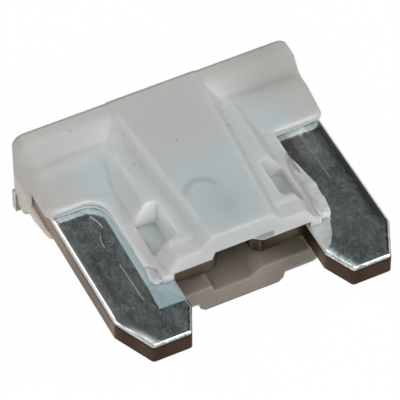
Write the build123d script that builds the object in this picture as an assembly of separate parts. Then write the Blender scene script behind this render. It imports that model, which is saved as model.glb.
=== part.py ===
from build123d import *
import os
from math import radians, tan

# Low-profile mini blade fuse, lying on its rear face. All sizes in millimetres.
# X runs across the two blades, Y from the blade tips up to the head, and Z out of the
# front face. While it is built, Y is 0 at the blade tips and Z is 0 in the middle of the
# metal. The finished part has its origin under the middle of its outline, on the surface
# that it lies on.

# Blades and the plates above them
metal_thick = 0.80
blade_span = 10.80          # outer edge to outer edge
blade_width = 2.80
tip_outer_chamfer_w = 0.75
tip_outer_chamfer_h = 1.57
tip_inner_chamfer_w = 0.55
tip_inner_chamfer_h = 1.15
tip_corner_r = 0.15
roll_r = 0.16               # front edge rolled over by the stamping die
plate_foot_y = 2.85         # lower edge of the plate that reaches inwards
plate_foot_r = 0.40
plate_top_inner_x = 2.30    # inner top corner of each plate
plate_shoulder_r = 0.50     # outer top corner of each plate

# Fuse link, an arch between the plates
link_gap_half = 0.65        # half the gap under the arch
link_width = 0.55
link_crown_y = 6.35
link_thick = 0.42
link_foot = 0.50            # straight foot of the arch inside each plate

# Head of the housing
head_top_y = 9.85
end_cover = 0.10            # the head stands this far past the blades' outer edges
roof_thick = 1.05           # plastic above the plates
lip_half_z = 1.87
lip_height = 0.62
lip_edge_r = 0.10
lip_under_drop = 0.60       # height of the slope below the lip
lip_under_r = 0.36
lip_end_r = 0.46            # corners of the head, seen from above
nub_length = 0.07           # square nub at each end of the rear lip
nub_height = 0.30
nub_inner_z = 0.95
shelf_half_z = 1.12         # wing surface just below the lip
shelf_height = 0.55
shelf_r = 0.90
wing_drop = 1.25            # height of the wing's lower slope, down to its edge
wing_end_r = 0.28
border_half_z = 0.76        # thin border round the blade openings
border_edge_r = 0.10

# Skirt
skirt_bottom_y = 2.40
skirt_half_x = 3.42
foot_half_x = 3.12          # narrower foot below the sloped step
foot_step_y = 2.92
foot_step_rise = 0.40
panel_half_x = 2.92         # raised front panel, measured where it leaves the border
panel_half_z = 1.50
panel_draft = 32.0          # degrees
panel_top_drop = 1.30       # below the head's top
panel_edge_r = 0.22
hem_half_z = 1.38           # hem along the bottom, a little lower than the panel
hem_top_y = 3.10
rear_panel_half_z = 1.48
inner_corner_left_r = 0.80  # corner between wing and skirt, left and right
inner_corner_right_r = 0.18

# Central band
band_half_z = 1.905
band_top_half_x = 2.28      # measured at the level of the wing surface
band_bottom_half_x = 1.78
band_straight_height = 0.95  # the band narrows from here downwards
band_draft = 36.0           # degrees
band_edge_bevel = 0.06
rear_draft = 12.0           # degrees, steeper sides of the rear band and panel
rear_edge_bevel = 0.16

# Hollows
slot_clearance = 0.03       # between the metal and the plastic, each side
cavity_half_z = 0.74
cavity_half_x = 1.85
cavity_top_y = 6.90
cavity_corner_r = 0.25
mouth_half_x = 2.66         # the cavity is wider at its open end
mouth_height = 0.65
pocket_half_z = 1.06        # deeper middle of the cavity
pocket_left_x = -1.18
pocket_left_ramp = 0.10
pocket_right_x = 0.36
pocket_right_ramp = 0.46
pocket_top_y = 7.40
window_inner_x = 2.10
window_outer_x = 2.95
window_low_y = 3.42
window_high_y = 5.12
window_corner_r = 0.16
window_draft = 4.0          # degrees
probe_width = 2.00
probe_thick = 0.90

# Values that follow from the sizes above
metal_half_z = metal_thick / 2
plate_top_y = head_top_y - roof_thick
panel_top_y = head_top_y - panel_top_drop
band_taper_start_y = head_top_y - band_straight_height
blade_outer_x = blade_span / 2
blade_inner_x = blade_outer_x - blade_width
blade_middle_x = blade_outer_x - blade_width / 2
link_outer_r = link_gap_half + link_width
link_spring_y = link_crown_y - link_outer_r
head_half_x = blade_outer_x + end_cover
head_width = 2 * head_half_x
slot_half_z = metal_half_z + slot_clearance
lip_low_y = head_top_y - lip_height
shelf_high_y = lip_low_y - lip_under_drop
shelf_low_y = shelf_high_y - shelf_height
wing_edge_y = shelf_low_y - wing_drop
plate_slope = (plate_top_inner_x - link_outer_r) / (plate_top_y - link_spring_y)
web_low_half_x = link_outer_r + plate_slope * (pocket_top_y - link_spring_y) - slot_clearance
beyond = band_half_z        # how far a cutting tool runs past the plastic
near = roll_r / 100         # how close an edge lies to the face it is picked on


def mirror_x(shape):
    return shape + mirror(shape, Plane.YZ)


def mirror_z(shape):
    return shape + mirror(shape, Plane.XY)


def block(x0, x1, y0, y1, z0, z1):
    middle = Location(((x0 + x1) / 2, (y0 + y1) / 2, (z0 + z1) / 2))
    return middle * Box(x1 - x0, y1 - y0, z1 - z0)


def outline(*points):
    return make_face(Polyline(*points, close=True))


def round_corner(sketch, x, y, radius):
    """Round the corner of a flat outline that lies nearest to x, y."""
    nearest = min(sketch.vertices(), key=lambda v: abs(v.X - x) + abs(v.Y - y))
    return fillet(nearest, radius)


def blade_outline():
    """One blade with its chamfered tip, on the +X side."""
    root_y = plate_foot_y + metal_thick
    shape = outline(
        (blade_inner_x, root_y),
        (blade_inner_x, tip_inner_chamfer_h),
        (blade_inner_x + tip_inner_chamfer_w, 0),
        (blade_outer_x - tip_outer_chamfer_w, 0),
        (blade_outer_x, tip_outer_chamfer_h),
        (blade_outer_x, root_y),
    )
    tip_corners = [v for v in shape.vertices() if v.Y < plate_foot_y]
    return fillet(tip_corners, tip_corner_r)


def plate_outline():
    """The plate above one blade, which reaches inwards to the link."""
    shape = outline(
        (link_gap_half, plate_foot_y),
        (blade_outer_x, plate_foot_y),
        (blade_outer_x, plate_top_y),
        (plate_top_inner_x, plate_top_y),
        (link_outer_r, link_spring_y),
        (link_gap_half, link_spring_y),
    )
    shape = round_corner(shape, link_gap_half, plate_foot_y, plate_foot_r)
    return round_corner(shape, blade_outer_x, plate_top_y, plate_shoulder_r)


def fuse_link():
    """The thin arch that melts, with short straight feet in the plates."""
    ring = Location((0, link_spring_y)) * (Circle(link_outer_r) - Circle(link_gap_half))
    upper = outline(
        (-link_outer_r, link_spring_y),
        (link_outer_r, link_spring_y),
        (link_outer_r, link_crown_y),
        (-link_outer_r, link_crown_y),
    )
    foot_at = Location((link_gap_half + link_width / 2, link_spring_y - link_foot / 2))
    foot = foot_at * Rectangle(link_width, link_foot)
    return extrude((ring & upper) + mirror_x(foot), link_thick / 2, both=True)


def fuse_element():
    """Two blades, their plates and the link, stamped from one strip."""
    blank = extrude(blade_outline() + plate_outline(), metal_half_z, both=True)
    front = blank.edges().filter_by_position(Axis.Z, metal_half_z, metal_half_z)
    rolled = [e for e in front if e.center().X > blade_inner_x - near]
    return mirror_x(fillet(rolled, roll_r)) + fuse_link()


def head_profile():
    """Side view of the head: lip, groove below it and wing, front and rear alike."""
    half = outline(
        (wing_edge_y, 0),
        (wing_edge_y, border_half_z),
        (shelf_low_y, shelf_half_z),
        (shelf_high_y, shelf_half_z),
        (lip_low_y, lip_half_z),
        (head_top_y, lip_half_z),
        (head_top_y, 0),
    )
    half = round_corner(half, lip_low_y, lip_half_z, lip_under_r)
    half = round_corner(half, shelf_high_y, shelf_half_z, lip_under_r)
    half = round_corner(half, shelf_low_y, shelf_half_z, shelf_r)
    half = round_corner(half, wing_edge_y, border_half_z, border_edge_r)
    return half + mirror(half, Plane.XZ)


def head():
    """The bar across the top: rounded ends, and a small square nub at each rear end."""
    profile = Plane.YZ * head_profile()
    bar = extrude(profile, head_half_x, both=True)
    ends = [e for e in bar.edges() if abs(abs(e.center().X) - head_half_x) < near]
    bar = fillet([e for e in ends if abs(e.center().Z) > border_half_z], wing_end_r)
    plan = RectangleRounded(head_width, 2 * lip_half_z, lip_end_r)
    bar = bar & extrude(Plane.XZ * plan, head_top_y + beyond, both=True)
    top = bar.edges().filter_by_position(Axis.Y, head_top_y - near, head_top_y + near)
    bar = fillet(top, lip_edge_r)
    nub = block(
        head_half_x - lip_end_r, head_half_x + nub_length,
        head_top_y - nub_height, head_top_y, -lip_half_z, -nub_inner_z,
    )
    return bar + mirror_x(nub)


def border():
    """Thin plate whose edge frames the blade openings, front and rear."""
    wing = Location((0, (wing_edge_y + shelf_high_y) / 2))
    wing = wing * Rectangle(head_width - 2 * wing_end_r, shelf_high_y - wing_edge_y)
    half_skirt = outline(
        (0, skirt_bottom_y),
        (foot_half_x, skirt_bottom_y),
        (foot_half_x, foot_step_y),
        (skirt_half_x, foot_step_y + foot_step_rise),
        (skirt_half_x, shelf_high_y),
        (0, shelf_high_y),
    )
    flat = wing + mirror_x(half_skirt)
    flat = round_corner(flat, -skirt_half_x, wing_edge_y, inner_corner_left_r)
    flat = round_corner(flat, skirt_half_x, wing_edge_y, inner_corner_right_r)
    return extrude(flat, border_half_z, both=True)


def panel(low_y, half_x, half_z, draft):
    """Raised panel of the skirt, with sloping sides."""
    height = panel_top_y - low_y
    face = Location((0, low_y + height / 2)) * Rectangle(2 * half_x, height)
    rise = extrude(Plane.XY.offset(border_half_z) * face, half_z - border_half_z, taper=draft)
    return rise + extrude(face, border_half_z)


def band(draft, bevel):
    """Central band that runs the full height and narrows towards the bottom."""
    slope = (band_top_half_x - band_bottom_half_x) / (band_taper_start_y - skirt_bottom_y)
    low_half_x = band_bottom_half_x - slope * beyond
    half = outline(
        (0, skirt_bottom_y - beyond),
        (low_half_x, skirt_bottom_y - beyond),
        (band_top_half_x, band_taper_start_y),
        (band_top_half_x, head_top_y + beyond),
        (0, head_top_y + beyond),
    )
    face = mirror_x(half)
    rise = extrude(Plane.XY.offset(shelf_half_z) * face, band_half_z - shelf_half_z, taper=draft)
    strip = trimmed(rise + extrude(face, shelf_half_z))
    return chamfer(crest(strip, band_half_z), bevel)


def trimmed(shape):
    """Cut a raised part off square at the head's top and the skirt's bottom."""
    keep = block(-head_width, head_width, skirt_bottom_y, head_top_y, 0, band_half_z)
    return shape & keep


def crest(shape, half_z):
    """The edges round a raised part's outer face, without the one at the skirt's bottom."""
    edges = shape.edges().filter_by_position(Axis.Z, half_z - near, half_z + near)
    return [e for e in edges if e.center().Y > skirt_bottom_y + near]


def raised_front():
    """Front panel with its lower hem, and the front band."""
    hem = panel(skirt_bottom_y - beyond, panel_half_x, hem_half_z, panel_draft)
    hem = fillet(crest(hem, hem_half_z), panel_edge_r)
    pad_low_y = hem_top_y - (hem_half_z - border_half_z) * tan(radians(panel_draft))
    pad = panel(pad_low_y, panel_half_x, panel_half_z, panel_draft)
    pad = fillet(crest(pad, panel_half_z), panel_edge_r)
    return trimmed(hem + pad) + band(band_draft, band_edge_bevel)


def raised_rear():
    """Rear panel and band, with steeper sides than in front."""
    pad = panel(skirt_bottom_y - beyond, foot_half_x, rear_panel_half_z, rear_draft)
    pad = fillet(crest(pad, rear_panel_half_z), panel_edge_r)
    return mirror(trimmed(pad) + band(rear_draft, rear_edge_bevel), Plane.XY)


def metal_slot():
    """Slot for the metal, open below and at both ends, with the web between the plates."""
    low = skirt_bottom_y - beyond
    end_top_y = plate_top_y - plate_shoulder_r
    open_part = outline((0, low), (head_width, low), (head_width, end_top_y), (0, end_top_y))
    flat = plate_outline() + open_part
    web = outline(
        (0, plate_top_y + slot_clearance),
        (plate_top_inner_x - slot_clearance, plate_top_y + slot_clearance),
        (web_low_half_x, pocket_top_y),
        (0, pocket_top_y),
    )
    grown = offset(flat, slot_clearance, kind=Kind.INTERSECTION)
    return extrude(mirror_x(grown - web), slot_half_z, both=True)


def cavity():
    """Hollow round the link, with a deeper pocket in the middle, open at the bottom."""
    low = skirt_bottom_y - beyond
    mouth_top_y = skirt_bottom_y + mouth_height
    half = outline(
        (0, low),
        (mouth_half_x, low),
        (mouth_half_x, mouth_top_y),
        (cavity_half_x, mouth_top_y),
        (cavity_half_x, cavity_top_y),
        (0, cavity_top_y),
    )
    half = round_corner(half, mouth_half_x, mouth_top_y, cavity_corner_r)
    half = round_corner(half, cavity_half_x, cavity_top_y, cavity_corner_r)
    hollow = extrude(mirror_x(half), cavity_half_z, both=True)
    section = outline(
        (pocket_left_x, 0),
        (pocket_left_x, cavity_half_z),
        (pocket_left_x + pocket_left_ramp, pocket_half_z),
        (pocket_right_x, pocket_half_z),
        (pocket_right_x + pocket_right_ramp, cavity_half_z),
        (pocket_right_x + pocket_right_ramp, 0),
    )
    pocket = extrude(Plane.XZ * section, -pocket_top_y)
    pocket = pocket + extrude(Plane.XZ * section, beyond)
    return hollow + mirror_z(pocket)


def windows():
    """Pockets through the skirt walls down to the plates, two in front and two behind."""
    width = window_outer_x - window_inner_x
    height = window_high_y - window_low_y
    middle = Location(((window_inner_x + window_outer_x) / 2, (window_low_y + window_high_y) / 2))
    face = middle * RectangleRounded(width, height, window_corner_r)
    depth = beyond - metal_half_z
    cut = extrude(Plane.XY.offset(metal_half_z) * face, depth, taper=-window_draft)
    return mirror_z(mirror_x(cut))


def probe_openings():
    """Openings in the head's top for a test probe, one over each blade."""
    opening = block(
        blade_middle_x - probe_width / 2, blade_middle_x + probe_width / 2,
        plate_top_y - roll_r, head_top_y + beyond, -probe_thick / 2, probe_thick / 2,
    )
    return mirror_x(opening)


def housing():
    """The moulded body, one piece."""
    body = head() + border() + raised_front() + raised_rear()
    return body - metal_slot() - cavity() - windows() - probe_openings()


def main():
    os.makedirs("parts", exist_ok=True)
    seat = Location((0, -head_top_y / 2, band_half_z))
    export_step(seat * housing(), "parts/housing.step")
    export_step(seat * fuse_element(), "parts/fuse_element.step")


main()
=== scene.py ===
# %% [markdown]
# # A low-profile mini blade fuse
# The fuse is two things: a stamped strip of tin-plated metal, and the milky plastic
# that is moulded to hold it. Both shapes come ready from the construction model, so
# this lesson is about their surfaces, their light and the few ragged bits of plastic
# that the mould left behind.

# %% Load the two parts
import math
import bmesh
import bpy
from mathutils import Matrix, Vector, noise


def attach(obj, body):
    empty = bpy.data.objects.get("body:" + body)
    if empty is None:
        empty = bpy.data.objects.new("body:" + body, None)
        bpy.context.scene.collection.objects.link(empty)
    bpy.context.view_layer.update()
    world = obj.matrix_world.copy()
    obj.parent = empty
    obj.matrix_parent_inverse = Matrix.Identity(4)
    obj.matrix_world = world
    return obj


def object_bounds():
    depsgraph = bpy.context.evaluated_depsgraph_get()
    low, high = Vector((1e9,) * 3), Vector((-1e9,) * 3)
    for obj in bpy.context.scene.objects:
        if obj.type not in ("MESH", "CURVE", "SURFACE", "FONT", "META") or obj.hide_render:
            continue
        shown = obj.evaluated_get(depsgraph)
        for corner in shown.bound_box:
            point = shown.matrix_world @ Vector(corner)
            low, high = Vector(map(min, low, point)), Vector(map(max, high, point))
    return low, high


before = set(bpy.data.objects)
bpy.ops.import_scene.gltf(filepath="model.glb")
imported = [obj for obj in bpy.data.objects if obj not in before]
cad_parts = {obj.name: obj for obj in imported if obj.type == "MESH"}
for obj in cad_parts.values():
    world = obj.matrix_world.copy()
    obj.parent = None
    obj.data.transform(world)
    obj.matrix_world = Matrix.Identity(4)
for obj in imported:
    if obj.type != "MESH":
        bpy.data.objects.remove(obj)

cad_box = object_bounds()
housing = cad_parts["housing"]
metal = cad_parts["fuse_element"]
MM = 0.001
size_mm = [round(v / MM, 2) for v in cad_box[1] - cad_box[0]]
print("parts:", sorted(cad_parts), "size in mm:", size_mm)

# %% [markdown]
# ## The camera
# A photograph of so small a thing is taken with a long lens from well away, so that
# its far end looks as large as its near one. The camera stands to the left and in
# front, and looks down at about fifty degrees.

# %% Place the camera
camera_data = bpy.data.cameras.new("camera")
camera_data.lens = 360
camera_data.sensor_width = 36
camera_data.clip_start = 0.01
camera_data.clip_end = 20
camera = bpy.data.objects.new("camera", camera_data)
camera.location = (-41.168 * MM, -83.076 * MM, 109.956 * MM)
camera.rotation_euler = (0.712379, 0.002425, -0.458785)
bpy.context.scene.collection.objects.link(camera)
bpy.context.scene.camera = camera
print("camera looks down at", round(90 - math.degrees(camera.rotation_euler.x), 1), "degrees")

# %% [markdown]
# ## Short names for shader nodes
# A material is a small machine that works out a colour for each point. Wiring its
# nodes by hand is slow to read, so these classes give each common node a short name.
# All places are in millimetres on the part itself, so a stain stays where it is from
# whichever side it is looked at. The first class only wires nodes and does sums.


# %% Wire nodes and do sums
class Wiring:
    def __init__(self, name):
        self.material = bpy.data.materials.new(name)
        self.material.use_nodes = True
        self.tree = self.material.node_tree
        self.tree.nodes.clear()
        self.output = self.tree.nodes.new("ShaderNodeOutputMaterial")
        self.shader = self.tree.nodes.new("ShaderNodeBsdfPrincipled")
        self.tree.links.new(self.shader.outputs[0], self.output.inputs["Surface"])
        place = self.tree.nodes.new("ShaderNodeTexCoord")
        self.facing = self.split(place.outputs["Normal"])
        scale = self.vector_math("SCALE", place.outputs["Object"])
        scale.inputs["Scale"].default_value = 1 / MM
        self.at = scale.outputs[0]
        self.x, self.y, self.z = self.split(self.at)

    def put(self, socket, value):
        """Give a socket a fixed value, or wire another node's output to it."""
        if isinstance(value, bpy.types.NodeSocket):
            self.tree.links.new(value, socket)
        else:
            socket.default_value = value

    def split(self, vector):
        node = self.tree.nodes.new("ShaderNodeSeparateXYZ")
        self.put(node.inputs[0], vector)
        return node.outputs[0], node.outputs[1], node.outputs[2]

    def join(self, x, y, z):
        node = self.tree.nodes.new("ShaderNodeCombineXYZ")
        for socket, value in zip(node.inputs, (x, y, z)):
            self.put(socket, value)
        return node.outputs[0]

    def vector_math(self, operation, a, b=None):
        node = self.tree.nodes.new("ShaderNodeVectorMath")
        node.operation = operation
        self.put(node.inputs[0], a)
        if b is not None:
            self.put(node.inputs[1], b)
        return node

    def math(self, operation, a, b=0.0):
        node = self.tree.nodes.new("ShaderNodeMath")
        node.operation = operation
        self.put(node.inputs[0], a)
        self.put(node.inputs[1], b)
        return node.outputs[0]

    def times(self, first, *others):
        for other in others:
            first = self.math("MULTIPLY", first, other)
        return first

    def plus(self, first, *others):
        for other in others:
            first = self.math("ADD", first, other)
        return first

    def most(self, first, *others):
        for other in others:
            first = self.math("MAXIMUM", first, other)
        return first

    def past(self, value, start):
        """How far a value has gone past a start, or 0 before it."""
        return self.math("MAXIMUM", self.math("SUBTRACT", value, start), 0.0)

    def rest_of(self, share):
        return self.math("SUBTRACT", 1.0, share)


print("wiring ready")

# %% [markdown]
# A mask is a number for each point: 1 where a paint goes and 0 where it doesn't, with
# a soft border between. The next class cuts masks in the shapes that are needed here:
# bands, boxes, discs, strokes and polygons.


# %% Cut masks
class Masks(Wiring):
    def step(self, value, low, high):
        """0 below low and 1 above high, with a soft step. High may be the lower one."""
        node = self.tree.nodes.new("ShaderNodeMapRange")
        node.interpolation_type = "SMOOTHSTEP"
        if low < high:
            ends = (low, high, 0.0, 1.0)
        else:
            ends = (high, low, 1.0, 0.0)
        for socket, end in zip(node.inputs[1:5], ends):
            socket.default_value = end
        self.put(node.inputs[0], value)
        return node.outputs[0]

    def between(self, value, low, high, soft):
        rise = self.step(value, low - soft, low + soft)
        fall = self.step(value, high + soft, high - soft)
        return self.times(rise, fall)

    def patch(self, x, y, low, high, soft):
        """1 inside a rectangle of the plane x, y."""
        across = self.between(x, low[0], high[0], soft)
        along = self.between(y, low[1], high[1], soft)
        return self.times(across, along)

    def distance(self, middle):
        """Distance in the plane x, y from a point."""
        flat = self.join(self.x, self.y, 0.0)
        return self.vector_math("DISTANCE", flat, (*middle, 0.0)).outputs["Value"]

    def disc(self, middle, radius, soft):
        return self.step(self.distance(middle), radius + soft, radius - soft)

    def stroke(self, start, end, width, soft):
        """1 along a straight stroke of the plane x, y from start to end."""
        run = Vector(end) - Vector(start)
        along = run.normalized()
        px = self.math("SUBTRACT", self.x, start[0])
        py = self.math("SUBTRACT", self.y, start[1])
        far = self.plus(self.times(px, along[0]), self.times(py, along[1]))
        aside = self.plus(self.times(px, -along[1]), self.times(py, along[0]))
        inside = self.between(far, 0.0, run.length, soft)
        off = self.math("ABSOLUTE", aside)
        return self.times(inside, self.step(off, width / 2 + soft, width / 2 - soft))

    def line(self, points, width, soft):
        """1 along a line through several points of the plane x, y."""
        return self.most(*[self.stroke(a, b, width, soft) for a, b in zip(points, points[1:])])

    def inside(self, points, soft):
        """1 inside a shape with outward corners only, given anticlockwise."""
        kept = []
        for a, b in zip(points, points[1:] + points[:1]):
            run = (Vector(b) - Vector(a)).normalized()
            off = self.plus(self.times(self.x, -run[1]), self.times(self.y, run[0]))
            edge = a[1] * run[0] - a[0] * run[1]
            kept.append(self.step(off, edge - soft, edge + soft))
        return self.times(*kept)


print("masks ready")

# %% [markdown]
# The last class adds grain, layers of colour and relief. Relief is two things: a bump
# that roughens the surface a little, and a bevel that softens its sharp edges. Milky
# plastic also needs its slopes flattened, because light wanders inside it and evens
# out the shading between a flat and the slope beside it.


# %% Add grain, colour and relief
class Paint(Masks):
    def noise(self, size, detail=3.0, stretch=None, rough=0.5, warp=0.0):
        """Cloudy noise with blobs of about that size in millimetres, from 0 to 1."""
        node = self.tree.nodes.new("ShaderNodeTexNoise")
        where = self.vector_math("MULTIPLY", self.at, stretch).outputs[0] if stretch else self.at
        self.put(node.inputs["Vector"], where)
        node.inputs["Scale"].default_value = 1 / size
        node.inputs["Detail"].default_value = detail
        node.inputs["Roughness"].default_value = rough
        node.inputs["Distortion"].default_value = warp
        return node.outputs[0]

    def open_sky(self, reach):
        """1 on open faces and less in corners, as far as faces stand within that reach."""
        node = self.tree.nodes.new("ShaderNodeAmbientOcclusion")
        node.samples = 8
        node.inputs["Distance"].default_value = reach * MM
        return node.outputs["AO"]

    def blend(self, amount, first, second, how="MIX"):
        node = self.tree.nodes.new("ShaderNodeMix")
        node.data_type = "RGBA"
        node.blend_type = how
        self.put(node.inputs[0], amount)
        for socket, paint in ((node.inputs[6], first), (node.inputs[7], second)):
            self.put(socket, paint if isinstance(paint, bpy.types.NodeSocket) else (*paint, 1.0))
        return node.outputs[2]

    def cover(self, under, mask, amount, paint):
        """Lay a paint over the colour beneath, as thickly as mask and amount say."""
        return self.blend(self.times(mask, amount), under, paint)

    def scale_to(self, value, low, high):
        """Stretch 0 to 1 over low to high."""
        node = self.tree.nodes.new("ShaderNodeMapRange")
        self.put(node.inputs[0], value)
        node.inputs[3].default_value = low
        node.inputs[4].default_value = high
        return node.outputs[0]

    def flatter(self, normal, amount):
        """Turn a normal to the front on front slopes, and to the back on rear ones."""
        toward = self.facing[2]
        in_front = self.most(self.step(self.z, 1.6, 2.2), self.step(toward, 0.1, 0.4))
        up = self.times(self.step(toward, -0.35, -0.1), in_front)
        down = self.step(toward, -0.15, -0.5)
        turn = self.join(0.0, 0.0, self.times(self.math("SUBTRACT", up, down), amount))
        leaning = self.vector_math("ADD", normal, turn).outputs[0]
        return self.vector_math("NORMALIZE", leaning).outputs[0]

    def bump(self, height, depth, edge, flatten=0.0):
        """Raise the surface by height times depth in millimetres, and soften its edges."""
        node = self.tree.nodes.new("ShaderNodeBump")
        node.inputs["Strength"].default_value = 1.0
        node.inputs["Distance"].default_value = depth * MM
        self.put(node.inputs["Height"], height)
        if edge:
            bevel = self.tree.nodes.new("ShaderNodeBevel")
            bevel.samples = 8
            bevel.inputs["Radius"].default_value = edge * MM
            soft = bevel.outputs[0]
            self.put(node.inputs["Normal"], self.flatter(soft, flatten) if flatten else soft)
        self.put(self.shader.inputs["Normal"], node.outputs[0])

    def set(self, **values):
        for name, value in values.items():
            self.put(self.shader.inputs[name.replace("_", " ")], value)

    def scatter_light(self, weight, reach):
        """Let light wander inside, evenly in all colours, as far as that reach."""
        self.set(Subsurface_Weight=weight, Subsurface_Scale=reach * MM)
        self.shader.inputs["Subsurface Radius"].default_value = (1.0, 1.0, 1.0)

    def report(self):
        print(self.material.name, "has", len(self.tree.nodes), "nodes")


def wear(part, material):
    part.data.materials.clear()
    part.data.materials.append(material)


print("paint ready")

# %% [markdown]
# ## Milky plastic
# The plastic lets light in and scatters it about, so its edges are pale and soft and
# nothing on it is quite sharp. Where the metal lies close behind, the plastic is painted
# a little blue, a painted shade of the dark metal seen through it, and over the hollow
# a darker blue, a painted shade too. Where nothing lies behind, it is warmer. Those
# zones are painted from their places on the part, with soft borders.

# %% Start the plastic with its cool zones
MILK = (0.51, 0.51, 0.50)
MILK_SHADED_BY_METAL = (0.475, 0.545, 0.55)
MILK_SHADED_BY_HOLLOW = (0.36, 0.43, 0.46)

plastic = Paint("milky_plastic")
half_x = plastic.math("ABSOLUTE", plastic.x)
cloud = plastic.noise(1.6, detail=2.0)
front = plastic.step(plastic.z, 2.4, 2.5)
on_right = plastic.step(plastic.x, -0.1, 0.1)
wing_metal = plastic.patch(half_x, plastic.y, (2.2, 1.0), (4.1, 3.5), 0.5)
skirt_metal = plastic.patch(half_x, plastic.y, (0.5, -2.0), (2.6, 1.8), 0.5)
band_metal = plastic.patch(half_x, plastic.y, (-0.1, -2.6), (1.4, 1.6), 1.0)
metal_behind = plastic.most(
    wing_metal, plastic.times(skirt_metal, 0.5), plastic.times(band_metal, 1.1)
)
cool = plastic.times(metal_behind, plastic.scale_to(cloud, 0.7, 1.2))
colour = plastic.blend(cool, MILK, MILK_SHADED_BY_METAL)
# Painted shade: a darker blue over the hollow, low on the band.
deep_shade = plastic.disc((-0.1, -1.3), 0.5, 1.2)
colour = plastic.cover(colour, plastic.times(deep_shade, front), 0.6, MILK_SHADED_BY_HOLLOW)
plastic.report()

# %% [markdown]
# Light that wanders inside the plastic fills its inner corners, so they look pale
# instead of dark: this is painted light. An ambient occlusion node finds those corners.
# The far end of the head and both its ends get less light, so they are painted in
# darker shades. The rear halves of the ends get a warm, darker painted shade, and the
# head's top face a brown painted shade for the dark contour along its top edge.

# %% Brighten the nooks and shade the ends
NOOK_PALE = (0.80, 0.825, 0.82)
SHADED_MILK = (0.42, 0.415, 0.40)
SHADED_END_MILK = (0.44, 0.425, 0.40)
REAR_END_SHADE_MILK = (0.50, 0.43, 0.375)
TOP_EDGE_SHADE_BROWN = (0.34, 0.25, 0.20)

valley = plastic.line(
    [(-2.50, 3.34), (-2.42, 2.93), (-2.44, 2.25), (-2.31, 1.22), (-2.05, 0.40)], 0.10, 0.12
)
corners = plastic.step(plastic.open_sky(2.0), 1.0, 0.50)
nooks = plastic.most(corners, plastic.times(valley, front, 0.25))
colour = plastic.blend(nooks, colour, NOOK_PALE)
head_right = plastic.times(
    plastic.step(plastic.x, 1.5, 4.5), plastic.step(plastic.y, 2.6, 3.6)
)
colour = plastic.cover(colour, head_right, 0.8, SHADED_MILK)
ends = plastic.step(half_x, 4.9, 5.45)
colour = plastic.cover(colour, ends, 0.8, SHADED_END_MILK)
# Painted shade: the rear halves of both ends, warmer and darker.
warm_rear_shade = plastic.times(plastic.step(half_x, 4.6, 5.3), plastic.step(plastic.z, 1.9, 1.4))
colour = plastic.cover(colour, warm_rear_shade, 0.8, REAR_END_SHADE_MILK)
# Painted shade: the head's top face is painted brown, for the dark contour along its edge.
top_face_shade = plastic.step(plastic.y, 4.74, 4.82)
colour = plastic.cover(colour, top_face_shade, 0.8, TOP_EDGE_SHADE_BROWN)
plastic.report()

# %% [markdown]
# Inside the opening the plastic gets little light, and what reaches it has passed
# through the walls and come off the metal, so it is painted brown, a painted shade,
# darker towards the right, with a paler stroke of painted light where light glows
# through. The thin walls round the two windows that catch the light are painted
# cream, a painted light.

# %% Paint shade in the hollow and light on the window walls
HOLLOW_BROWN = (0.24, 0.20, 0.168)
HOLLOW_GLOW = (0.33, 0.27, 0.24)
HOLLOW_SHADE_RIGHT = (0.17, 0.145, 0.12)
LIT_CREAM = (0.55, 0.56, 0.53)

narrow = plastic.times(plastic.step(half_x, 1.90, 1.86), plastic.step(plastic.y, 2.6, 2.4))
mouth = plastic.times(plastic.step(half_x, 2.72, 2.68), plastic.step(plastic.y, -1.84, -1.88))
hollow = plastic.times(plastic.most(narrow, mouth), plastic.between(plastic.z, 0.82, 2.65, 0.01))
end_face = plastic.step(plastic.facing[1], -0.5, -0.9)
rear_end = plastic.times(end_face, plastic.step(plastic.z, 1.25, 1.15))
hollow = plastic.most(hollow, rear_end)
# Painted light: a paler stroke where light glows through.
glow_through = plastic.stroke((0.75, -1.75), (0.55, -2.7), 0.4, 0.25)
hollow_colour = plastic.cover(HOLLOW_BROWN, glow_through, 0.4, HOLLOW_GLOW)
# Painted shade: darker towards the right of the hollow.
hollow_colour = plastic.blend(plastic.step(plastic.x, 0.9, 2.2), hollow_colour, HOLLOW_SHADE_RIGHT)
colour = plastic.blend(hollow, colour, hollow_colour)

# Painted light: window walls that catch the light are painted cream.
window = plastic.patch(half_x, plastic.y, (1.99, -1.64), (3.06, 0.32), 0.01)
upright = plastic.step(plastic.math("ABSOLUTE", plastic.facing[2]), 0.35, 0.15)
lit_wall = plastic.most(on_right, plastic.step(plastic.facing[1], -0.7, -0.4))
lit_window_wall = plastic.times(window, plastic.times(upright, lit_wall), front)
colour = plastic.blend(lit_window_wall, colour, LIT_CREAM)
plastic.report()

# %% [markdown]
# Last come small things that an eye catches on a real moulding: the arch of the fuse
# link that shows through as a blue shadow, pale lines where light runs along an edge
# inside the plastic, a few dark specks, and the shaded ramp at the hollow's mouth.

# %% Let the fuse link show through
LINK_BLUE = (0.30, 0.37, 0.43)

crown = plastic.distance((-0.55, -0.5))
crown = plastic.times(
    plastic.between(crown, 0.50, 0.72, 0.10), plastic.step(plastic.y, -0.45, -0.2)
)
leg = plastic.line([(-0.02, -0.3), (0.03, -1.1), (0.0, -2.2)], 0.25, 0.2)
link_shadow = plastic.times(plastic.most(crown, plastic.times(leg, 0.25)), front)
colour = plastic.cover(colour, link_shadow, 0.55, LINK_BLUE)
plastic.report()

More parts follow.
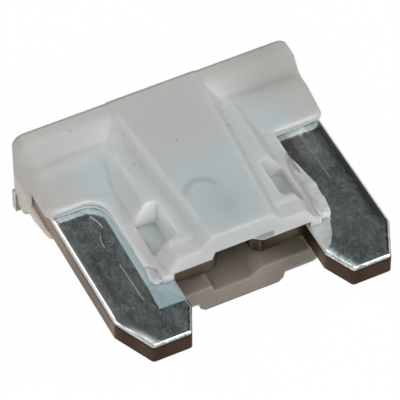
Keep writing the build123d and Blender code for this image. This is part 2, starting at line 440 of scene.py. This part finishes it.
# %% Draw the pale lines
crest = plastic.line([(-1.72, 4.2), (-1.50, 1.4), (-1.22, -1.6)], 0.12, 0.12)
lip_line = plastic.line([(-4.9, 4.28), (-1.9, 4.30)], 0.03, 0.06)
panel_side = plastic.line(
    [(-3.22, 2.6), (-3.12, 2.1), (-3.14, 1.4), (-3.2, 0.9), (-3.3, 0.5)], 0.04, 0.05
)
hem_left = plastic.line([(-2.9, -1.4), (-2.2, -1.95), (-1.6, -2.05)], 0.25, 0.2)
hem_right = plastic.line([(2.2, -1.95), (2.6, -1.85), (3.2, -1.5)], 0.2, 0.15)
window_edge = plastic.line([(-2.05, 0.0), (-1.98, -1.5)], 0.03, 0.025)
for glint, amount, paint in (
    (plastic.most(crest, lip_line), 0.4, (0.62, 0.62, 0.61)),
    (panel_side, 0.45, (0.62, 0.68, 0.68)),
    (plastic.most(hem_left, hem_right), 0.35, (0.64, 0.62, 0.58)),
    (window_edge, 0.8, (0.64, 0.70, 0.75)),
):
    colour = plastic.cover(colour, plastic.times(glint, front), amount, paint)
plastic.report()

# %% Add the specks and shade the ramp
SPECK_BROWN = (0.16, 0.15, 0.12)
RAMP_GREEN = (0.17, 0.20, 0.18)
SPECK_BORDER = 0.03

specks = [
    plastic.disc(place, radius, SPECK_BORDER)
    for place, radius in (
        ((-3.47, 4.28), 0.03), ((-0.28, 2.12), 0.04), ((1.83, 2.22), 0.05),
        ((4.87, 1.85), 0.04), ((-2.0, 2.09), 0.03), ((-1.79, 3.34), 0.02),
    )
]
colour = plastic.cover(colour, plastic.times(plastic.most(*specks), front), 0.65, SPECK_BROWN)
ramp_face = plastic.patch(plastic.x, plastic.z, (0.48, 2.4), (1.22, 2.98), 0.06)
colour = plastic.cover(colour, plastic.times(end_face, ramp_face), 0.9, RAMP_GREEN)
plastic.report()

# %% [markdown]
# The finish is that of a polished mould that has seen some use: half glossy, with a
# grain too fine to be seen by itself. The light wanders not quite a millimetre inside.
# A longer way would be truer to the material, but in thin walls it lets the light out
# at the back, and they turn dark.

# %% Finish the plastic
fine = plastic.noise(0.12, detail=2.0)
plastic.set(Base_Color=colour, Roughness=plastic.scale_to(fine, 0.30, 0.42), IOR=1.45)
plastic.scatter_light(weight=0.9, reach=0.9)
plastic.bump(fine, 0.002, edge=0.24, flatten=2.5)
wear(housing, plastic.material)
plastic.report()

# %% [markdown]
# ## Tin-plated metal
# The plating is a mirror that has been handled: cloudy, mottled and scratched. It
# has hardly any colour of its own, and shows what stands round it. Where it is worn
# rough it spreads the light and looks paler than where it is still smooth.

# %% Wear down the plating
tin = Paint("tin_plated_metal")
side = tin.math("ABSOLUTE", tin.x)
right_half = tin.step(tin.x, -0.1, 0.1)
right_blade = tin.step(tin.x, 0.0, 1.0)
mottle = tin.noise(0.5, detail=5.0, stretch=(1.3, 0.8, 1.0), rough=0.6, warp=0.8)
drawn = tin.noise(0.16, detail=4.0, stretch=(1.6, 0.8, 1.0), rough=0.75)
grit = tin.noise(0.05, detail=2.0)
worn = tin.plus(
    tin.times(tin.step(mottle, 0.37, 0.65), 0.5), tin.times(tin.step(drawn, 0.38, 0.64), 0.5)
)
pits = tin.step(tin.noise(0.13, detail=2.0, warp=1.0), 0.68, 0.80)
# Cloudy patches, and a paler strip along the left blade's outer side: partly a real haze, partly a
# painted reflection.
haze_and_sheen = tin.most(
    tin.disc((4.35, 0.8), 0.8, 0.55),
    tin.times(tin.disc((3.95, -2.6), 0.6, 0.6), 0.5),
    tin.times(tin.disc((-4.25, -1.9), 0.5, 0.6), 0.6),
    tin.times(tin.step(tin.x, -4.75, -5.05), 0.5),
)
tin.report()

# %% [markdown]
# A blade that is pushed into a socket gets long scratches from its contacts. A few
# tiny white spots are painted glints, where small dents flash in the light. Most
# scratches run along the blade.

# %% Scratch it and paint its glints
# Painted glints at these spots; the lines below are scratches.
GLINT_SPOTS = ((-3.73, -3.6), (3.79, -0.65), (4.23, -0.28), (-4.1, 1.35))
scratches_and_glints = tin.most(
    *[tin.disc(place, 0.02, 0.03) for place in GLINT_SPOTS],
    tin.line([(-4.07, -1.0), (-4.05, -1.9), (-4.02, -2.85)], 0.025, 0.015),
    tin.line([(-4.06, 1.45), (-3.92, 1.08), (-3.88, 0.75)], 0.05, 0.03),
    tin.line([(-4.12, 0.5), (-4.2, 0.2), (-4.22, -0.1)], 0.03, 0.02),
    tin.times(tin.line([(4.36, 1.7), (4.40, 0.4), (4.41, -0.75)], 0.11, 0.05), 0.55),
    tin.times(tin.line([(4.02, 1.5), (4.05, 0.6)], 0.07, 0.05), 0.35),
)
tin.report()

# %% [markdown]
# The stamping die rolls the front edges of the blades over a little, and the face
# begins to lean well before them. A mirror shows the smallest lean, so the bright
# lines along the edges come from it. Here the lean is a height that falls away faster
# and faster towards the outer sides, the tips and the left one of each blade's two
# cut corners.

# %% Roll its edges
SIDE_ROLL_START = 4.55
TIP_ROLL_START = -4.6
LEFT_CORNER = 6.317
RIGHT_CORNER = -0.718
CORNER_ROLL = 0.55
CORNER_ACROSS = (-0.902, -0.431)    # the way out over a left-hand cut corner

over_side = tin.past(side, SIDE_ROLL_START)
side_lean = tin.times(over_side, over_side, over_side, tin.scale_to(right_half, -0.12, -0.09))
side_lean = tin.times(side_lean, tin.step(tin.y, -3.8, -2.9))
over_tip = tin.math("MAXIMUM", tin.math("SUBTRACT", TIP_ROLL_START, tin.y), 0.0)
tip_lean = tin.times(over_tip, over_tip, -0.25)
outward = tin.plus(tin.times(tin.x, CORNER_ACROSS[0]), tin.times(tin.y, CORNER_ACROSS[1]))
over_left = tin.past(outward, LEFT_CORNER - CORNER_ROLL)
over_right = tin.times(right_blade, tin.past(outward, RIGHT_CORNER - CORNER_ROLL))
corner_lean = tin.plus(tin.times(over_left, over_left), tin.times(over_right, over_right))
near_corner = tin.most(tin.step(tin.y, -3.3, -4.4), right_blade)
corner_lean = tin.times(tin.times(corner_lean, -0.6), near_corner)
lean = tin.plus(side_lean, tip_lean, corner_lean)
tin.report()

# %% [markdown]
# When the plastic was pressed round the metal, a skin thinner than paper crept a
# little way over the blades. It isn't worth a shape of its own, so it is painted: no
# longer metal, pale blue on the left blade and nearly white on the right one. The
# patches below the skirt and the strip beside the left blade are also a painted
# reflection of the plastic in the mirror of the metal.

# %% Paint the skin and the reflection of the plastic over the blades
SKIN_AND_REFLECTION_BLUE = ((0.24, 0.33, 0.36), (0.33, 0.41, 0.42))
SKIN_AND_REFLECTION_BLUE_UPPER = (0.40, 0.50, 0.52)
SKIN_AND_REFLECTION_WHITE = ((0.38, 0.41, 0.40), (0.48, 0.50, 0.48))

# Painted reflection and skin: the patches below the skirt and the strip beside it.
left_skin_and_reflection = tin.most(
    tin.inside([(-3.70, -3.46), (-2.5, -3.48), (-2.5, -2.2), (-3.63, -2.2)], 0.02),
    tin.inside([(-3.65, -2.4), (-3.2, -2.4), (-3.2, 1.45), (-3.61, 1.45)], 0.02),
)
right_skin_and_reflection = tin.inside(
    [(2.62, -3.72), (2.99, -3.47), (3.30, -3.0), (3.48, -2.40), (2.5, -2.2), (2.5, -3.6)], 0.03
)
skin_and_reflection = tin.most(left_skin_and_reflection, right_skin_and_reflection)
skin_cloud = tin.step(tin.noise(0.5, detail=4.0), 0.35, 0.65)
skin_and_reflection_colour = tin.blend(skin_cloud, *SKIN_AND_REFLECTION_BLUE)
skin_and_reflection_colour = tin.blend(tin.step(tin.y, -2.6, -2.0), skin_and_reflection_colour, SKIN_AND_REFLECTION_BLUE_UPPER)
skin_and_reflection_colour = tin.blend(right_skin_and_reflection, skin_and_reflection_colour, tin.blend(skin_cloud, *SKIN_AND_REFLECTION_WHITE))
tin.report()

# %% [markdown]
# The colour of the faces goes from dark, where the plating is still smooth, to pale,
# where it is worn, and a fine speckle lies over both. The rolled edges are smooth and
# clean. In the windows the metal is painted a plain light grey and made rougher, a
# painted light.

# %% Colour the faces
PLATING = ((0.37, 0.445, 0.455), (0.88, 0.97, 0.97))
SPECKLE = ((0.70, 0.70, 0.71), (1.24, 1.24, 1.22))
ROLLED_TIN = (0.52, 0.54, 0.52)
HAZE_AND_SHEEN_TIN = ((0.66, 0.72, 0.73), (0.98, 1.0, 1.0))
DULL_TIN = (0.30, 0.33, 0.29)
BARE_TIN_AND_GLINT = (0.98, 0.99, 0.98)
LIT_TIN_IN_WINDOW = (0.60, 0.65, 0.65)

speckle = tin.step(
    tin.noise(0.07, detail=3.0, stretch=(1.3, 0.8, 1.0), rough=0.8), 0.36, 0.64
)
rolled = tin.most(
    tin.step(side, 5.05, 5.2), tin.step(outward, LEFT_CORNER - CORNER_ROLL, LEFT_CORNER - 0.35)
)
dull = tin.most(
    tin.patch(tin.x, tin.y, (2.6, 0.1), (4.0, 1.9), 0.15),
    tin.times(
        tin.line([(-4.80, 0.0), (-4.86, -1.4), (-4.92, -2.7)], 0.16, 0.12),
        tin.scale_to(worn, 1.3, 0.4),
    ),
)
in_window = tin.patch(side, tin.y, (1.9, -1.8), (3.1, 0.5), 0.02)
face_colour = tin.blend(worn, *PLATING)
speckled = tin.times(tin.rest_of(rolled), 0.9)
face_colour = tin.blend(speckled, face_colour, tin.blend(speckle, *SPECKLE), "MULTIPLY")
face_colour = tin.cover(face_colour, rolled, 0.8, ROLLED_TIN)
# Painted reflection, partly haze: the cloudy patches are paler.
face_colour = tin.blend(haze_and_sheen, face_colour, tin.blend(worn, *HAZE_AND_SHEEN_TIN))
face_colour = tin.cover(face_colour, dull, 0.75, DULL_TIN)
# Scratches, pits and the painted glints are laid on in bare white tin.
face_colour = tin.blend(tin.most(scratches_and_glints, tin.times(pits, 0.6)), face_colour, BARE_TIN_AND_GLINT)
# Painted light: the metal in the windows is a plain light grey.
face_colour = tin.blend(in_window, face_colour, LIT_TIN_IN_WINDOW)
tin.report()

# %% [markdown]
# The strip is plated before it is stamped, so its cut edges have no tin on them. They
# show the brown metal of the core, with a grain that the punch left. The edges that
# face the tips are painted darkest and those between the blades dark, a painted shade;
# the ones high up beside the head are painted palest.

# %% Colour the cut edges
CUT_BROWN = ((0.055, 0.028, 0.011), (0.155, 0.083, 0.034))
CUT_BROWN_UPPER = (0.23, 0.155, 0.10)
CUT_BROWN_TIP_SHADE = ((0.028, 0.014, 0.008), (0.075, 0.038, 0.018))
CUT_BROWN_INNER_SHADE = (0.10, 0.08, 0.052)

cut_edge = tin.step(tin.math("ABSOLUTE", tin.facing[2]), 0.70, 0.45)
edge_grain = tin.noise(0.10, detail=3.0, stretch=(2.0, 2.0, 0.4))
edge_colour = tin.blend(edge_grain, *CUT_BROWN)
edge_colour = tin.blend(tin.step(tin.y, -1.0, 2.2), edge_colour, CUT_BROWN_UPPER)
# Painted shade: the edges that face the tips.
at_tip = tin.step(tin.facing[1], -0.2, -0.42)
edge_colour = tin.blend(at_tip, edge_colour, tin.blend(edge_grain, *CUT_BROWN_TIP_SHADE))
# Painted shade: the edges between the blades.
edge_colour = tin.blend(tin.step(side, 2.7, 2.5), edge_colour, CUT_BROWN_INNER_SHADE)
tin.report()

# %% [markdown]
# Everything on the strip is metal except the painted skin and reflection. The
# roughness takes the roughest of all the wear at each point.

# %% Finish the metal
surface = tin.blend(skin_and_reflection, face_colour, skin_and_reflection_colour)
tin.set(
    Base_Color=tin.blend(cut_edge, surface, edge_colour),
    Metallic=tin.rest_of(tin.times(skin_and_reflection, tin.rest_of(cut_edge))),
    Roughness=tin.most(
        tin.scale_to(worn, 0.06, 0.24), tin.times(scratches_and_glints, 0.55), tin.times(pits, 0.4),
        tin.times(cut_edge, 0.4), tin.times(in_window, 0.55), tin.times(skin_and_reflection, 0.3),
        tin.times(rolled, 0.24), tin.times(haze_and_sheen, tin.scale_to(drawn, 0.0, 0.5)),
    ),
)
tin.bump(tin.plus(tin.times(drawn, 0.0022), tin.times(grit, 0.0005), lean), 1.0, edge=0.03)
wear(metal, tin.material)
tin.report()

# %% [markdown]
# ## Flash
# Where the two halves of the mould don't quite close, a thin film of plastic creeps
# out: the flash. Here it fringes the skirt on the right and fills the small step on
# the left, and a thin bead of it runs along the lower edge of each wing. Each film is
# a strip of cross-sections, joined along a wavy rim, with the rim rounded off.


# %% A film with a wavy rim
FILM_SECTION = (    # how far across the film, and how high
    (0, 1.0), (0.35, 1.0), (0.7, 1.0), (0.93, 0.95), (1, 0.6), (1, 0.0), (0, 0.0),
)
WAVES_PER_MM = 3


def film_mesh(inner, outer, inner_top, outer_top, bottom, waves):
    """A thin strip of plastic from the inner line to the outer one, at those heights."""
    mesh = bmesh.new()
    rows = []
    for (ax, ay), (bx, by) in zip(inner, outer):
        row = []
        for across, height in FILM_SECTION:
            x = ax + (bx - ax) * across
            y = ay + (by - ay) * across
            top = inner_top + (outer_top - inner_top) * across
            wave = noise.noise(Vector((x * WAVES_PER_MM, y * WAVES_PER_MM, height)))
            z = bottom + (top - bottom + waves * wave) * height
            row.append(mesh.verts.new((x * MM, y * MM, z * MM)))
        rows.append(row)
    for a, b in zip(rows, rows[1:]):
        for i in range(len(a)):
            j = (i + 1) % len(a)
            mesh.faces.new((a[i], a[j], b[j], b[i]))
    mesh.faces.new(rows[0])
    mesh.faces.new(list(reversed(rows[-1])))
    return mesh


def film(name, inner, outer, inner_top, outer_top, bottom, waves):
    mesh = film_mesh(inner, outer, inner_top, outer_top, bottom, waves)
    bmesh.ops.recalc_face_normals(mesh, faces=mesh.faces)
    for face in mesh.faces:
        face.smooth = True
    data = bpy.data.meshes.new(name)
    mesh.to_mesh(data)
    mesh.free()
    strip = bpy.data.objects.new(name, data)
    bpy.context.scene.collection.objects.link(strip)
    smooth = strip.modifiers.new("smooth", "SUBSURF")
    smooth.levels = smooth.render_levels = 2
    return strip


print("film maker ready")

# %% [markdown]
# The films beside the skirt follow rims that wander, as a leak does. The beads follow
# the wing's own edge, a quarter turn at its inner corner, and so they are worked out.

# %% Draw the lines of the films
right_rim = [
    (3.43, 0.85), (3.45, 0.58), (3.50, 0.34), (3.60, 0.10), (3.61, -0.20), (3.68, -0.48),
    (3.70, -0.72), (3.78, -0.97), (3.70, -1.25), (3.70, -1.50), (3.73, -1.72), (3.66, -2.02),
    (3.64, -2.28), (3.52, -2.45),
]
right_root = [(3.38, 0.85), (3.30, 0.58), (3.20, 0.34), (3.13, 0.10)]
right_root += [(3.09, y) for x, y in right_rim[4:]]
left_rim = [
    (-3.43, -1.58), (-3.46, -1.80), (-3.45, -2.02), (-3.49, -2.25), (-3.44, -2.42), (-3.36, -2.54),
]
left_root = [(-3.0, y) for y in (-1.58, -1.80, -2.02, -2.25, -2.40, -2.50)]

SKIRT_EDGE = 3.42
WING_EDGE = 1.905
WING_END = 5.34
BEAD_LOW_END = -1.0
TURN_STEPS = 6


def wing_edge(side, corner, away):
    """The wing's lower edge, round its inner corner and down the skirt, moved out by away."""
    middle = (side * (SKIRT_EDGE + corner), WING_EDGE - corner)
    radius = corner - away
    turns = [math.radians(90 * step / TURN_STEPS) for step in range(TURN_STEPS + 1)]
    bend = [
        (middle[0] - side * radius * math.sin(turn), middle[1] + radius * math.cos(turn))
        for turn in turns
    ]
    start = (side * WING_END, WING_EDGE - away)
    return [start] + bend + [(side * (SKIRT_EDGE + away), BEAD_LOW_END)]


print("points along the films:", len(right_rim), len(left_rim), len(wing_edge(1, 0.18, 0.03)))

# %% Lay the films and the beads
BEAD_IN, BEAD_OUT = -0.08, 0.03
LEFT_CORNER_RADIUS = 0.80
RIGHT_CORNER_RADIUS = 0.18


def bead(name, side, corner):
    inner = wing_edge(side, corner, BEAD_IN)
    outer = wing_edge(side, corner, BEAD_OUT)
    return film(name, inner, outer, 2.40, 2.37, 2.30, 0.01)


flash = [
    film("flash_right", right_root, right_rim, 2.70, 2.64, 2.32, 0.03),
    film("flash_left", left_root, left_rim, 2.60, 2.50, 2.32, 0.12),
]
beads = [
    bead("flash_wing_left", -1, LEFT_CORNER_RADIUS),
    bead("flash_wing_right", 1, RIGHT_CORNER_RADIUS),
]
print("films:", [piece.name for piece in flash + beads])

# %% [markdown]
# The films are the same plastic, but so thin that they are paler and more blotchy
# than the housing. The beads lie in the shade of the wing's edge and over the metal,
# so they look blue and let hardly any light wander.

# %% Paint the films
FLASH_MILK = ((0.47, 0.49, 0.475), (0.57, 0.575, 0.55))
FLASH_NOOK_LIGHT = (0.86, 0.88, 0.86)
BEAD_MILK = ((0.40, 0.47, 0.48), (0.48, 0.54, 0.55))

skin = Paint("flash_plastic")
blotch = skin.noise(0.25, detail=3.0)
film_colour = skin.blend(skin.step(blotch, 0.35, 0.65), *FLASH_MILK)
# Painted light: the films' nooks are painted pale, as in the housing.
film_nooks = skin.step(skin.open_sky(0.8), 0.95, 0.40)
skin.set(Base_Color=skin.blend(film_nooks, film_colour, FLASH_NOOK_LIGHT), Roughness=0.22)
skin.scatter_light(weight=1.0, reach=1.0)
skin.bump(blotch, 0.008, edge=0.0)
bead_skin = Paint("bead_plastic")
bead_skin.set(Base_Color=bead_skin.blend(bead_skin.noise(0.3), *BEAD_MILK), Roughness=0.3)
for pieces, material in ((flash, skin.material), (beads, bead_skin.material)):
    for piece in pieces:
        wear(piece, material)
        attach(piece, "root")
skin.report()

# %% [markdown]
# ## The table and the light
# The table is a plain white sheet. For the camera and in mirrors it shines a little by
# itself, so that it is white in the picture while the soft shadow stays.

# %% Lay the table
SHEET_WHITE = (0.95, 0.95, 0.95, 1.0)
GLOW_SHARE = 0.98

bpy.ops.mesh.primitive_plane_add(size=1.2, location=(0, 0, 0))
table = bpy.context.object
table.name = "table"
sheet = Paint("white_sheet")
sheet.set(Base_Color=SHEET_WHITE, Roughness=0.9)
glow = sheet.tree.nodes.new("ShaderNodeEmission")
glow.inputs["Color"].default_value = (1.0, 1.0, 1.0, 1.0)
glow.inputs["Strength"].default_value = 1.0
seen = sheet.tree.nodes.new("ShaderNodeLightPath")
watched = sheet.most(seen.outputs["Is Camera Ray"], seen.outputs["Is Glossy Ray"])
mixed = sheet.tree.nodes.new("ShaderNodeMixShader")
sheet.put(mixed.inputs[0], sheet.times(watched, GLOW_SHARE))
sheet.put(mixed.inputs[1], sheet.shader.outputs[0])
sheet.put(mixed.inputs[2], glow.outputs[0])
sheet.put(sheet.output.inputs["Surface"], mixed.outputs[0])
wear(table, sheet.material)
print("table laid")

# %% [markdown]
# Two large soft lamps, left and right in front, light the plastic evenly. Metal needs
# something to show, so two bright cards stand further round. They are seen in the
# gloss only and add no light to the plastic.


# %% Hang the lamps
def softbox(name, place, size, power, only_gloss=False):
    """A square soft lamp that points at the fuse, or a bright card for the gloss to show."""
    data = bpy.data.lights.new(name, "AREA")
    data.shape = "SQUARE"
    data.size = size
    data.energy = power
    lamp = bpy.data.objects.new(name, data)
    lamp.visible_diffuse = not only_gloss
    lamp.location = place
    lamp.rotation_euler = (-Vector(place)).to_track_quat("-Z", "Y").to_euler()
    bpy.context.scene.collection.objects.link(lamp)
    return lamp


softbox("key", (-0.26, -0.24, 0.40), 0.30, 1.0)
softbox("fill", (0.36, -0.20, 0.36), 0.34, 1.0)
softbox("card_left", (-0.36, 0.30, 0.46), 0.40, 0.9, only_gloss=True)
softbox("card_front", (0.15, -0.14, 0.50), 0.32, 0.6, only_gloss=True)

# %% [markdown]
# The room round the table is light, except where the flat faces of the metal look:
# there hangs a dark curtain, with its darkest part to the right. A mirror that
# faces something dark looks dark.

# %% Light the room and hang the curtain
ROOM_LEVEL = 0.80

world = bpy.data.worlds.new("studio")
bpy.context.scene.world = world
world.use_nodes = True
room = world.node_tree
room.nodes.clear()
room_out = room.nodes.new("ShaderNodeOutputWorld")
shade = room.nodes.new("ShaderNodeBackground")
way = room.nodes.new("ShaderNodeTexCoord")


def curtain(middle, rim, core, dark):
    """Full light outside the rim of that direction, and little inside its core."""
    dot = room.nodes.new("ShaderNodeVectorMath")
    dot.operation = "DOT_PRODUCT"
    dot.inputs[1].default_value = middle
    room.links.new(way.outputs["Generated"], dot.inputs[0])
    fade = room.nodes.new("ShaderNodeMapRange")
    fade.interpolation_type = "SMOOTHSTEP"
    for socket, value in zip(fade.inputs[1:5], (rim, core, 1.0, dark)):
        socket.default_value = value
    room.links.new(dot.outputs["Value"], fade.inputs[0])
    return fade.outputs[0]


wide_curtain = curtain((0.288, 0.586, 0.757), 0.70, 0.95, 0.20)
right_curtain = curtain((0.72, 0.46, 0.52), 0.88, 0.97, 0.12)
both = room.nodes.new("ShaderNodeMath")
both.operation = "MULTIPLY"
room.links.new(wide_curtain, both.inputs[0])
room.links.new(right_curtain, both.inputs[1])
level = room.nodes.new("ShaderNodeMath")
level.operation = "MULTIPLY"
level.inputs[1].default_value = ROOM_LEVEL
room.links.new(both.outputs[0], level.inputs[0])
room.links.new(level.outputs[0], shade.inputs["Strength"])
room.links.new(shade.outputs[0], room_out.inputs[0])
print("room nodes:", len(room.nodes))

# %% [markdown]
# ## Picture settings
# The picture shows colours as they were mixed, with no film look laid over them.

# %% Picture settings
bpy.context.scene.view_settings.view_transform = "Standard"
